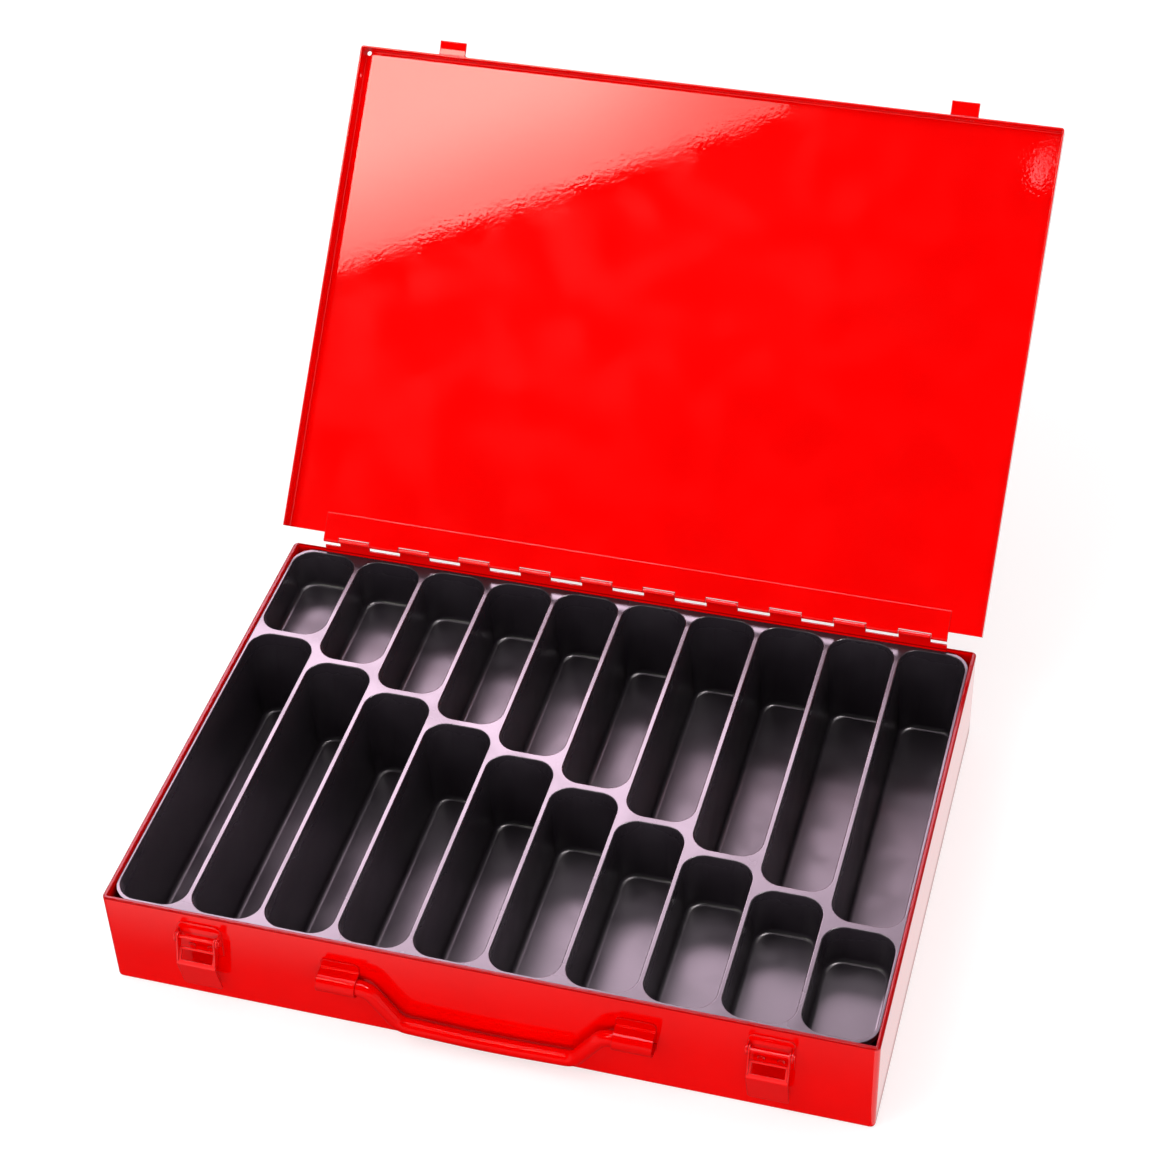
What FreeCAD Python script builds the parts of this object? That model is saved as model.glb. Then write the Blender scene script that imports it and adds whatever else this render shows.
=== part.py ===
import FreeCAD, Part

import math
import os

import Sketcher
from FreeCAD import Placement, Rotation, Vector

# Steel compartment box: a shallow sheet steel box with a hinged lid, a moulded
# insert with twenty pockets, two slotted latches and a swinging rod handle.
# Frame: millimetres, +Z up, +X to the right, the front wall faces -Y. The
# origin is the centre of the base's underside. The lid stands open.

doc = FreeCAD.newDocument("CompartmentBox")
sheet = doc.addObject("Spreadsheet::Sheet", "Sizes")

DRIVING_SIZES = (
    ("base_width", 440.0, "base, outside, left to right"),
    ("base_depth", 314.0, "base, outside, front to back"),
    ("base_height", 67.0, "base, outside"),
    ("base_sheet", 1.0, "steel sheet of the base"),
    ("base_corner", 3.0, "outer radius of the upright corners"),
    ("base_edge", 2.5, "outer radius of the bottom edges"),
    ("hem_width", 2.8, "width of the hemmed rim, seen from above"),
    ("hem_height", 8.0, "height of the hem inside the rim"),
    ("hem_round", 0.9, "radius of the rim's folded edges"),
    ("lid_sheet", 1.0, "steel sheet of the lid"),
    ("lid_side_gap", 2.0, "gap between a lid flange and the base's side wall"),
    ("lid_front_gap", 1.2, "gap between the lid's front flange and the front wall"),
    ("lid_flange", 12.0, "height of the lid's flanges, outside"),
    ("lid_bend", 1.8, "outer radius of the lid's bends"),
    ("lid_open_angle", 132.9, "turn of the lid from closed to fully open"),
    ("relief_bore", 3.0, "relief hole at the left front corner of the lid"),
    ("hang_bore", 3.2, "hole in the lid's left flange"),
    ("hang_setback", 18.0, "that hole, behind the front flange"),
    ("hinge_rise", 9.0, "hinge axis above the rim"),
    ("hinge_setback", 4.4, "hinge axis behind the lid panel's rear edge"),
    ("hinge_shift", 1.8, "centre of the hinge to the right of the box's centre"),
    ("hinge_wire", 1.6, "diameter of the hinge pin"),
    ("hinge_running", 0.06, "radial clearance between pin and knuckles"),
    ("leaf_sheet", 0.8, "steel sheet of the hinge leaves"),
    ("knuckle_pitch", 20.0, "length of a knuckle with its gap"),
    ("knuckle_gap", 0.3, "gap between neighbouring knuckles"),
    ("base_knuckles", 10, "knuckles on the base leaf"),
    ("leaf_depth", 13.0, "overlap of the lid leaf and the panel"),
    ("leaf_drop", 14.0, "base leaf below the rim"),
    ("notch_rise", 3.4, "base leaf's notches above the rim"),
    ("tray_fit", 0.3, "gap between the insert and the rim or the hinge leaf"),
    ("tray_recess", 2.0, "insert's top below the rim"),
    ("tray_wall", 1.2, "wall of the moulded insert"),
    ("tray_lip", 4.0, "height of the insert's turned-down edge"),
    ("tray_corner", 14.0, "corner radius of the insert's outline"),
    ("pocket_columns", 10, "columns of pockets, each with a front and a back one"),
    ("pocket_web", 3.2, "web between two columns"),
    ("pocket_side", 1.6, "web between the pockets and the insert's left or right edge"),
    ("pocket_divider", 4.8, "web between the front and the back pocket"),
    ("pocket_border", 2.4, "web between the pockets and the insert's front or back edge"),
    ("pocket_shortest", 75.0, "length of the shortest pocket"),
    ("pocket_corner", 12.5, "plan radius of a pocket's corners"),
    ("pocket_floor", 3.0, "radius between a pocket's wall and its floor"),
    ("pocket_mouth", 0.7, "radius on the top edge of a pocket"),
    ("pocket_draft", 2.0, "draft of the pocket walls, in degrees"),
    ("pocket_slope", 0.35, "depth of a pocket for each unit of its length"),
    ("latch_offset", 162.5, "latches and catches, from the centre of the box"),
    ("latch_reach", 5.0, "latch pivot in front of the front wall"),
    ("latch_drop", 13.7, "latch pivot below the rim"),
    ("latch_sheet", 1.0, "steel sheet of the latches"),
    ("latch_web", 4.0, "lever's slotted web, from the pivot to its inner face"),
    ("latch_web_start", 6.6, "lever's slotted web above the pivot, lever closed"),
    ("latch_width", 23.0, "lever, outside"),
    ("latch_length", 16.6, "lever, from the pivot to the corner between web and tab"),
    ("latch_bend", 1.8, "outer radius of the bend between web and tab"),
    ("latch_tab", 23.0, "length of the finger tab"),
    ("latch_tab_angle", 51.0, "bend between web and tab, in degrees"),
    ("latch_tab_corner", 2.0, "radius of the finger tab's corners"),
    ("latch_ear", 3.0, "radius of the ears round the pin"),
    ("latch_side_gap", 0.3, "gap between a lever's cheek and the plate's ear"),
    ("latch_open_angle", 143.0, "turn of the lever from closed to hanging at rest"),
    ("cheek_top", 2.0, "lever's cheeks below the corner between web and tab"),
    ("cheek_shoulder", 6.0, "lever's cheeks are full width up to here, below the same corner"),
    ("cheek_step", 1.0, "how far a cheek stands behind the web at its top"),
    ("latch_plate_above", 7.5, "latch plate above the pivot"),
    ("latch_plate_below", 15.0, "latch plate below the pivot"),
    ("latch_plate_corner", 4.0, "radius of the latch plate's upper corners"),
    ("plate_ear_above", 3.0, "root of the plate's ears above the pivot"),
    ("plate_ear_below", 7.5, "root of the plate's ears below the pivot"),
    ("latch_wire", 2.0, "diameter of the latch pin"),
    ("latch_running", 0.05, "radial clearance between a latch pin and its holes"),
    ("pin_head", 0.8, "height of a latch pin's peened head"),
    ("pin_head_width", 3.2, "diameter of a latch pin's peened head"),
    ("slot_start", 7.9, "slot's lower edge above the pivot, lever closed"),
    ("slot_above", 2.0, "slot's upper edge above the catch, lever closed"),
    ("catch_width", 17.0, "catch's tongue"),
    ("catch_side_gap", 0.8, "gap between the tongue and each end of the slot"),
    ("catch_reach", 8.6, "catch's tongue in front of the lid's front flange"),
    ("catch_flat", 3.9, "flat part of the tongue, before its bend"),
    ("catch_bend", 12.0, "downward bend of the tongue, in degrees"),
    ("catch_leg", 9.0, "height of the catch's leg on the flange"),
    ("catch_rivet_rise", 6.0, "rivets of a catch above its tongue's underside"),
    ("rivet_shank", 2.4, "diameter of the rivets' shanks"),
    ("rivet_fit", 0.05, "radial clearance between a rivet and its holes"),
    ("rivet_head", 4.4, "diameter of the rivets' heads"),
    ("rivet_rise", 0.7, "height of the rivets' heads"),
    ("rivet_pitch", 11.0, "distance between the two rivets of a latch plate"),
    ("catch_rivet_pitch", 9.0, "distance between the two rivets of a catch"),
    ("handle_shift", 4.0, "centre of the handle to the right of the box's centre"),
    ("handle_rod", 9.0, "diameter of the handle's rod"),
    ("handle_gap", 0.55, "front wall to the brackets' arches, at their narrowest"),
    ("handle_drop", 26.0, "handle's pivot axis below the rim"),
    ("handle_hang", 24.5, "grip's centre line below the pivot axis, at its ends"),
    ("handle_bow", 2.0, "further drop of the grip at its middle"),
    ("handle_grip", 100.0, "length of the grip between its bends' points"),
    ("handle_neck", 134.0, "distance between the points where the ends bend away"),
    ("handle_bend", 10.0, "radius of the handle's bends, on the centre line"),
    ("handle_end", 1.0, "radius on the rod's ends"),
    ("bracket_inner", 146.0, "distance between the brackets"),
    ("bracket_width", 22.5, "length of a bracket along the rod"),
    ("bracket_sheet", 1.2, "steel sheet of the brackets"),
    ("bracket_flange", 6.0, "flat flange above and below a bracket's arch"),
    ("bracket_running", 0.15, "radial clearance between rod and bracket"),
)

for row, (alias, number, meaning) in enumerate(DRIVING_SIZES, start=1):
    sheet.set("A%d" % row, alias)
    sheet.set("B%d" % row, str(number))
    sheet.set("C%d" % row, meaning)
    sheet.setAlias("B%d" % row, alias)
doc.recompute()


X, Y, Z = Vector(1, 0, 0), Vector(0, 1, 0), Vector(0, 0, 1)
NEAR = 1e-4
# A sketch's points start this far out and its constraints then place them.
START = 10.0


def size(alias):
    """Value of a driving size."""
    return float(sheet.get(alias))


def new_body(label):
    """Empty body, labelled as its node."""
    body = doc.addObject("PartDesign::Body", label)
    body.Label = label
    return body


def new_sketch(body, plane, at=(None, None, None)):
    """Sketch on one of the body's origin planes, moved by expressions along
    the plane's own axes."""
    sketch = body.newObject("Sketcher::SketchObject", body.Label + "_sketch")
    sketch.AttachmentSupport = [
        (feature, "") for feature in body.Origin.OriginFeatures if feature.Role == plane
    ]
    sketch.MapMode = "FlatFace"
    for axis, expression in zip("xyz", at):
        if expression:
            sketch.setExpression("AttachmentOffset.Base." + axis, expression)
    return sketch


def hold(sketch, kind, geometry, point, start, expression):
    """Distance of a point from the sketch's origin, bound to an expression."""
    index = sketch.addConstraint(Sketcher.Constraint(kind, -1, 1, geometry, point, start))
    sketch.setExpression("Constraints[%d]" % index, expression)


def polygon(body, plane, corners, at=(None, None, None)):
    """Closed outline through corners given as pairs of expressions."""
    sketch = new_sketch(body, plane, at)
    count = len(corners)
    turn = 2 * math.pi / count
    start = [START * Vector(math.cos(turn * k), math.sin(turn * k), 0) for k in range(count)]
    for k in range(count):
        sketch.addGeometry(Part.LineSegment(start[k], start[(k + 1) % count]), False)
    for k in range(count):
        sketch.addConstraint(Sketcher.Constraint("Coincident", k, 2, (k + 1) % count, 1))
    for k, (across, up) in enumerate(corners):
        hold(sketch, "DistanceX", k, 1, start[k].x, across)
        hold(sketch, "DistanceY", k, 1, start[k].y, up)
    return sketch


def block_outline(body, plane, low, high, at=(None, None, None)):
    """Rectangle between two corners."""
    corners = [(low[0], low[1]), (high[0], low[1]), (high[0], high[1]), (low[0], high[1])]
    return polygon(body, plane, corners, at)


def circles(body, plane, centres, diameter, at=(None, None, None)):
    """Circles of one diameter."""
    sketch = new_sketch(body, plane, at)
    for k, (across, up) in enumerate(centres):
        start = Vector(START * (k + 1), START, 0)
        sketch.addGeometry(Part.Circle(start, Vector(0, 0, 1), 1.0), False)
        hold(sketch, "DistanceX", k, 3, start.x, across)
        hold(sketch, "DistanceY", k, 3, start.y, up)
        index = sketch.addConstraint(Sketcher.Constraint("Radius", k, 1.0))
        sketch.setExpression("Constraints[%d]" % index, "(%s) / 2" % diameter)
    return sketch


def pad(body, sketch, length, midplane=False, reverse=False):
    """Material over the sketch."""
    feature = body.newObject("PartDesign::Pad", body.Label + "_pad")
    feature.Profile = sketch
    feature.setExpression("Length", length)
    feature.Midplane = midplane
    feature.Reversed = reverse
    return feature


def pocket(body, sketch, length, midplane=False, reverse=False):
    """Cut over the sketch; it must take material away."""
    doc.recompute()
    before = body.Shape.Volume
    feature = body.newObject("PartDesign::Pocket", body.Label + "_pocket")
    feature.Profile = sketch
    feature.setExpression("Length", length)
    feature.Midplane = midplane
    feature.Reversed = reverse
    doc.recompute()
    if body.Shape.Volume > before - NEAR:
        raise ValueError("a cut of %s takes nothing away" % body.Label)
    return feature


def edge_names(shape, chosen):
    """Names of the edges for which chosen(edge) is true."""
    return ["Edge%d" % (k + 1) for k, edge in enumerate(shape.Edges) if chosen(edge)]


def fillet(body, chosen, radius):
    """Rounding of the chosen edges of the body's newest feature."""
    doc.recompute()
    base = body.Tip
    feature = body.newObject("PartDesign::Fillet", body.Label + "_fillet")
    feature.Base = (base, edge_names(base.Shape, chosen))
    feature.setExpression("Radius", radius)
    return feature


def hollow(body, open_faces, wall):
    """Shell of even thickness, open at the chosen faces."""
    doc.recompute()
    base = body.Tip
    faces = ["Face%d" % (k + 1) for k, face in enumerate(base.Shape.Faces) if open_faces(face)]
    feature = body.newObject("PartDesign::Thickness", body.Label + "_shell")
    feature.Base = (base, faces)
    feature.setExpression("Value", wall)
    feature.Reversed = True
    return feature


def mirror(body, features):
    """The same features on the other side of the body's own YZ plane."""
    feature = body.newObject("PartDesign::Mirrored", body.Label + "_mirror")
    feature.Originals = features
    plane = [item for item in body.Origin.OriginFeatures if item.Role == "YZ_Plane"][0]
    feature.MirrorPlane = (plane, [""])
    body.Tip = feature
    return feature


def repeat(body, features, spacing, count):
    """The same features count times along the body's own X axis."""
    feature = body.newObject("PartDesign::LinearPattern", body.Label + "_row")
    feature.Originals = features
    axis = [item for item in body.Origin.OriginFeatures if item.Role == "X_Axis"][0]
    feature.Direction = (axis, [""])
    feature.Mode = "Spacing"
    feature.setExpression("Offset", spacing)
    feature.setExpression("Occurrences", count)
    body.Tip = feature
    return feature


def middle(edge):
    """Point halfway along an edge."""
    return edge.valueAt((edge.FirstParameter + edge.LastParameter) / 2)


def along(edge, axis):
    """Whether an edge is a straight line along an axis."""
    if edge.Curve.TypeId != "Part::GeomLine":
        return False
    return abs(abs(edge.Curve.Direction.dot(axis)) - 1) < 1e-6


rim = size("base_height")

# Places that several pieces share, as expressions of the driving sizes. The
# lid's pieces are drawn closed, about the hinge axis.
HINGE_Y = "(Sizes.base_depth / 2 - Sizes.base_sheet - Sizes.leaf_sheet - Sizes.hinge_wire / 2)"
HINGE_Z = "(Sizes.base_height + Sizes.hinge_rise)"
HINGE_LENGTH = "(2 * Sizes.base_knuckles * Sizes.knuckle_pitch)"
KNUCKLE_BORE = "(Sizes.hinge_wire + 2 * Sizes.hinge_running)"
KNUCKLE_OUTSIDE = "(Sizes.hinge_wire + 2 * Sizes.leaf_sheet)"
LID_TOP = "(Sizes.lid_sheet - Sizes.hinge_wire / 2)"
LID_BOTTOM = "(%s - Sizes.lid_flange)" % LID_TOP
LID_SIDE = "(Sizes.base_width / 2 + Sizes.lid_side_gap + Sizes.lid_sheet)"
LID_FRONT = "(-Sizes.base_depth / 2 - Sizes.lid_front_gap - Sizes.lid_sheet - %s)" % HINGE_Y
LATCH_Y = "(-Sizes.base_depth / 2 - Sizes.latch_reach)"
LATCH_Z = "(Sizes.base_height - Sizes.latch_drop)"
BRACKET_INNER = "(Sizes.handle_rod / 2 + Sizes.bracket_running)"
BRACKET_OUTER = "(%s + Sizes.bracket_sheet)" % BRACKET_INNER
HANDLE_REACH = "(%s + Sizes.handle_gap)" % BRACKET_OUTER
HANDLE_Y = "(-Sizes.base_depth / 2 - %s)" % HANDLE_REACH
HANDLE_Z = "(Sizes.base_height - Sizes.handle_drop)"
LATCH_BORE = "(Sizes.latch_wire + 2 * Sizes.latch_running)"
CATCH_TOP = "(%s + %s + Sizes.lid_sheet)" % (HINGE_Z, LID_BOTTOM)
THROUGH = "(2 * Sizes.latch_width)"
SIDES = (("left", -1), ("right", 1))


def place(node, x, y, z, turn=None):
    """Place of a node, turned about X by an expression in degrees."""
    node.Placement = Placement(Vector(), Rotation(X, 1.0 if turn else 0.0))
    for axis, expression in zip("xyz", (x, y, z)):
        node.setExpression(".Placement.Base." + axis, expression)
    if turn:
        node.setExpression(".Placement.Rotation.Angle", turn)
    return node


def rivet_holes(body, centres, y):
    """Holes for rivets through a plate at y, seen from the front."""
    diameter = "Sizes.rivet_shank + 2 * Sizes.rivet_fit"
    holes = circles(body, "XZ_Plane", centres, diameter, (None, None, "-(%s)" % y))
    pocket(body, holes, "4 * Sizes.base_sheet", midplane=True)


def both_sides(places, x, z):
    """Places about a point at x on the right, and about the same on the left."""
    return [
        ("%d * %s + %s" % (sign, x, across), "%s + %s" % (z, up))
        for side, sign in SIDES
        for across, up in places
    ]


def latch_rivet_places():
    """Rivets of a latch plate, seen from the front, about the pivot."""
    across, up = "Sizes.rivet_pitch / 2", "-Sizes.latch_plate_below + Sizes.rivet_head"
    return [("-" + across, up), (across, up)]


def catch_rivet_places():
    """Rivets of a catch, seen from the front, about the hinge axis."""
    across, up = "Sizes.catch_rivet_pitch / 2", "%s + Sizes.catch_rivet_rise" % LID_BOTTOM
    return [("-" + across, up), (across, up)]


def base_shell():
    """Folded box with a hem on three sides of its rim."""
    body = new_body("base_shell")
    side, end = "Sizes.base_width / 2", "Sizes.base_depth / 2"
    outline = block_outline(body, "XY_Plane", ("-" + side, "-" + end), (side, end))
    pad(body, outline, "Sizes.base_height")
    fillet(body, lambda edge: along(edge, Z), "Sizes.base_corner")
    fillet(body, lambda edge: abs(middle(edge).z) < NEAR, "Sizes.base_edge")
    hollow(body, lambda face: face.CenterOfMass.z > rim - NEAR, "Sizes.base_sheet")
    left, right = "-%s + Sizes.base_sheet" % side, "%s - Sizes.base_sheet" % side
    front, back = "-%s + Sizes.base_sheet" % end, "%s - Sizes.base_sheet" % end
    fold_left, fold_right = "-%s + Sizes.hem_width" % side, "%s - Sizes.hem_width" % side
    fold_front = "-%s + Sizes.hem_width" % end
    corners = [
        (left, back),
        (left, front),
        (right, front),
        (right, back),
        (fold_right, back),
        (fold_right, fold_front),
        (fold_left, fold_front),
        (fold_left, back),
    ]
    hem = polygon(body, "XY_Plane", corners, (None, None, "Sizes.base_height - Sizes.hem_height"))
    pad(body, hem, "Sizes.hem_height")
    half, fold = size("base_width") / 2, size("hem_width")
    inside = lambda edge: (
        middle(edge).z > rim - NEAR
        and (
            abs(abs(middle(edge).x) - half + fold) < NEAR
            or abs(middle(edge).y + size("base_depth") / 2 - fold) < NEAR
        )
    )
    fillet(body, inside, "Sizes.hem_round")
    outside = lambda edge: middle(edge).z > rim - NEAR and abs(middle(edge).x) > half - NEAR
    fillet(body, outside, "Sizes.hem_round")
    rivet_holes(body, both_sides(latch_rivet_places(), "Sizes.latch_offset", LATCH_Z), "-" + end)
    return place(body, "0", "0", "0")


def lid_shell():
    """Lid panel with a front flange and two side flanges, open behind."""
    body = new_body("lid_shell")
    low, high = ("-" + LID_SIDE, LID_FRONT), (LID_SIDE, "-Sizes.hinge_setback")
    outline = block_outline(body, "XY_Plane", low, high, (None, None, LID_TOP))
    pad(body, outline, "Sizes.lid_flange", reverse=True)
    doc.recompute()
    box = body.Shape.BoundBox
    rear = box.YMax
    bend = "Sizes.lid_bend"
    fillet(body, lambda edge: along(edge, Z) and middle(edge).y < rear - NEAR, bend)
    fillet(
        body,
        lambda edge: middle(edge).z > box.ZMax - NEAR and middle(edge).y < rear - NEAR,
        bend,
    )
    hollow(
        body,
        lambda face: face.CenterOfMass.z < box.ZMin + NEAR or face.CenterOfMass.y > rear - NEAR,
        "Sizes.lid_sheet",
    )
    inset = "(Sizes.lid_sheet + Sizes.relief_bore / 2)"
    corner = "%s - %s" % (LID_SIDE, inset)
    front = "%s + %s" % (LID_FRONT, inset)
    relief = circles(
        body,
        "XY_Plane",
        [("-(%s)" % corner, front)],
        "Sizes.relief_bore",
        (None, None, LID_TOP),
    )
    pocket(body, relief, "2 * Sizes.lid_sheet")
    hang = circles(
        body,
        "YZ_Plane",
        [(LID_FRONT + " + Sizes.hang_setback", "%s - Sizes.lid_flange / 2" % LID_TOP)],
        "Sizes.hang_bore",
        (None, None, "-" + LID_SIDE),
    )
    pocket(body, hang, "2 * Sizes.lid_sheet", reverse=True)
    rivet_holes(body, both_sides(catch_rivet_places(), "Sizes.latch_offset", "0"), LID_FRONT)
    return place(body, "0", HINGE_Y, HINGE_Z, "-Sizes.lid_open_angle")


def knuckle(body, root, at, length, reverse=None):
    """Rolled knuckle with the tongue of leaf that it grows from."""
    midplane = reverse is None
    tongue = block_outline(body, "YZ_Plane", root[0], root[1], (None, None, at))
    barrel = circles(body, "YZ_Plane", [("0", "0")], KNUCKLE_OUTSIDE, (None, None, at))
    return [
        pad(body, tongue, length, midplane, bool(reverse)),
        pad(body, barrel, length, midplane, bool(reverse)),
    ]


def hinge_leaf_base():
    """Hinge leaf welded upright inside the back wall."""
    body = new_body("hinge_leaf_base")
    inner, outer = "Sizes.hinge_wire / 2", "Sizes.hinge_wire / 2 + Sizes.leaf_sheet"
    notch = "-Sizes.hinge_rise + Sizes.notch_rise"
    foot = "-Sizes.hinge_rise - Sizes.leaf_drop"
    strip = block_outline(body, "YZ_Plane", (inner, foot), (outer, notch))
    pad(body, strip, HINGE_LENGTH, midplane=True)
    first = "-(Sizes.base_knuckles - 1) * Sizes.knuckle_pitch"
    length = "Sizes.knuckle_pitch - Sizes.knuckle_gap"
    features = knuckle(body, ((inner, notch), (outer, "0")), first, length)
    repeat(body, features, "2 * Sizes.knuckle_pitch", "Sizes.base_knuckles")
    bore = circles(body, "YZ_Plane", [("0", "0")], KNUCKLE_BORE)
    pocket(body, bore, HINGE_LENGTH, midplane=True)
    return place(body, "Sizes.hinge_shift", HINGE_Y, HINGE_Z)


def hinge_leaf_lid():
    """Hinge leaf welded under the lid's panel, with a half knuckle at each end."""
    body = new_body("hinge_leaf_lid")
    low, high = "-%s / 2" % KNUCKLE_OUTSIDE, "-Sizes.hinge_wire / 2"
    rear = "-%s / 2 - Sizes.knuckle_gap" % KNUCKLE_OUTSIDE
    front = "-Sizes.hinge_setback - Sizes.leaf_depth"
    strip = block_outline(body, "YZ_Plane", (front, low), (rear, high))
    pad(body, strip, HINGE_LENGTH, midplane=True)
    root = ((rear, low), ("0", high))
    half = "(Sizes.knuckle_pitch - Sizes.knuckle_gap) / 2"
    ends = knuckle(body, root, "-%s / 2" % HINGE_LENGTH, half, reverse=False)
    mirror(body, ends)
    first = "-(Sizes.base_knuckles - 2) * Sizes.knuckle_pitch"
    length = "Sizes.knuckle_pitch - Sizes.knuckle_gap"
    features = knuckle(body, root, first, length)
    repeat(body, features, "2 * Sizes.knuckle_pitch", "Sizes.base_knuckles - 1")
    bore = circles(body, "YZ_Plane", [("0", "0")], KNUCKLE_BORE)
    pocket(body, bore, HINGE_LENGTH, midplane=True)
    return place(body, "Sizes.hinge_shift", HINGE_Y, HINGE_Z, "-Sizes.lid_open_angle")


def hinge_pin():
    """Wire through all knuckles."""
    body = new_body("hinge_pin")
    pad(body, circles(body, "YZ_Plane", [("0", "0")], "Sizes.hinge_wire"), HINGE_LENGTH, midplane=True)
    return place(body, "Sizes.hinge_shift", HINGE_Y, HINGE_Z)


def rounded_wire(width, depth, radius, centre):
    """Rounded rectangle, level, about a centre."""
    edges = []
    quarter = math.pi / 2
    corners = ((1, 1), (-1, 1), (-1, -1), (1, -1))
    arcs = []
    for k, (right, back) in enumerate(corners):
        hub = centre + Vector(right * (width / 2 - radius), back * (depth / 2 - radius), 0)
        circle = Part.Circle(hub, Z, radius)
        arcs.append(Part.ArcOfCircle(circle, k * quarter, (k + 1) * quarter))
    for k, arc in enumerate(arcs):
        edges.append(arc.toShape())
        edges.append(Part.LineSegment(arc.EndPoint, arcs[(k + 1) % 4].StartPoint).toShape())
    return Part.Wire(edges)


def drafted_block(width, depth, radius, centre, sunk):
    """Rounded block that hangs from a centre and narrows with the draft."""
    draw = sunk * math.tan(math.radians(size("pocket_draft")))
    mouth = rounded_wire(width, depth, radius, centre)
    foot = rounded_wire(width - 2 * draw, depth - 2 * draw, radius - draw, centre - Z * sunk)
    return Part.makeLoft([mouth, foot], True, True)


def insert_tray():
    """Moulded insert: two rows of pockets that stand in the base. From left to
    right the back pockets grow and the front ones shrink by the same step."""
    wall, lip = size("tray_wall"), size("tray_lip")
    top = rim - size("tray_recess")
    half = size("base_width") / 2 - size("hem_width") - size("tray_fit")
    front = -size("base_depth") / 2 + size("hem_width") + size("tray_fit")
    back = size("base_depth") / 2 - size("base_sheet") - size("leaf_sheet") - size("tray_fit")
    centre = Vector(0, (front + back) / 2, top)
    depth = back - front
    corner = size("tray_corner")
    plate = Part.Face(rounded_wire(2 * half, depth, corner, centre)).extrude(-Z * lip)
    inside = Part.Face(
        rounded_wire(2 * (half - wall), depth - 2 * wall, corner - wall, centre - Z * wall)
    ).extrude(-Z * lip)
    plate = plate.cut(inside)

    columns = int(size("pocket_columns"))
    web, border = size("pocket_web"), size("pocket_border")
    width = (2 * half - 2 * size("pocket_side") - (columns - 1) * web) / columns
    both = depth - 2 * border - size("pocket_divider")
    shortest = size("pocket_shortest")
    step = (both - 2 * shortest) / (columns - 1)
    deepest = top - size("base_sheet") - wall
    # The longest pockets always stand on the base's floor.
    slope = max(size("pocket_slope"), deepest / (both - shortest))
    cups, holes = [], []
    for column in range(columns):
        x = (column - (columns - 1) / 2) * (width + web)
        long_back = shortest + column * step
        long_front = both - long_back
        places = (
            (long_back, back - border - long_back / 2),
            (long_front, front + border + long_front / 2),
        )
        for length, y in places:
            mouth = Vector(x, y, top)
            sunk = min(slope * length, deepest)
            radius = size("pocket_corner")
            hole = drafted_block(width, length, radius, mouth, sunk)
            floor = [edge for edge in hole.Edges if edge.BoundBox.ZMax < top - sunk + NEAR]
            holes.append(hole.makeFillet(size("pocket_floor"), floor))
            cup = drafted_block(width + 2 * wall, length + 2 * wall, radius + wall, mouth, sunk + wall)
            floor = [edge for edge in cup.Edges if edge.BoundBox.ZMax < top - sunk - wall + NEAR]
            cups.append(cup.makeFillet(size("pocket_floor"), floor))
    shape = plate.multiFuse(cups).removeSplitter().cut(holes).Solids[0]
    mouths = [
        edge
        for edge in shape.Edges
        if edge.BoundBox.ZMin > top - NEAR
        and max(edge.BoundBox.XMax, -edge.BoundBox.XMin) < half - NEAR
        and edge.BoundBox.YMin > front + NEAR
        and edge.BoundBox.YMax < back - NEAR
    ]
    shape = shape.makeFillet(size("pocket_mouth"), mouths)
    node = doc.addObject("Part::Feature", "insert_tray")
    node.Label = "insert_tray"
    node.Shape = shape
    return place(node, "0", "0", "0")


def latch_plate(side, sign):
    """Riveted plate on the front wall, with an ear at each end of the pin."""
    body = new_body("latch_plate_" + side)
    wall, face = "Sizes.latch_reach", "Sizes.latch_reach - Sizes.latch_sheet"
    inner = "(Sizes.latch_width / 2 + Sizes.latch_side_gap)"
    outer = "(%s + Sizes.latch_sheet)" % inner
    low, high = "-Sizes.latch_plate_below", "Sizes.latch_plate_above"
    back = block_outline(body, "YZ_Plane", (face, low), (wall, high))
    pad(body, back, "2 * %s" % outer, midplane=True)
    crown = size("latch_plate_above") - NEAR
    upper_corners = lambda edge: along(edge, Y) and middle(edge).z > crown
    fillet(body, upper_corners, "Sizes.latch_plate_corner")
    at = (None, None, inner)
    ear = polygon(
        body,
        "YZ_Plane",
        [
            (wall, "-Sizes.plate_ear_below"),
            (wall, "Sizes.plate_ear_above"),
            ("0", "Sizes.latch_ear"),
            ("0", "-Sizes.latch_ear"),
        ],
        at,
    )
    tip = circles(body, "YZ_Plane", [("0", "0")], "2 * Sizes.latch_ear", at)
    ears = [pad(body, ear, "Sizes.latch_sheet"), pad(body, tip, "Sizes.latch_sheet")]
    mirror(body, ears)
    bore = circles(body, "YZ_Plane", [("0", "0")], LATCH_BORE)
    pocket(body, bore, THROUGH, midplane=True)
    rivet_holes(body, latch_rivet_places(), wall)
    return place(body, "%d * Sizes.latch_offset" % sign, LATCH_Y, LATCH_Z)


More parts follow.
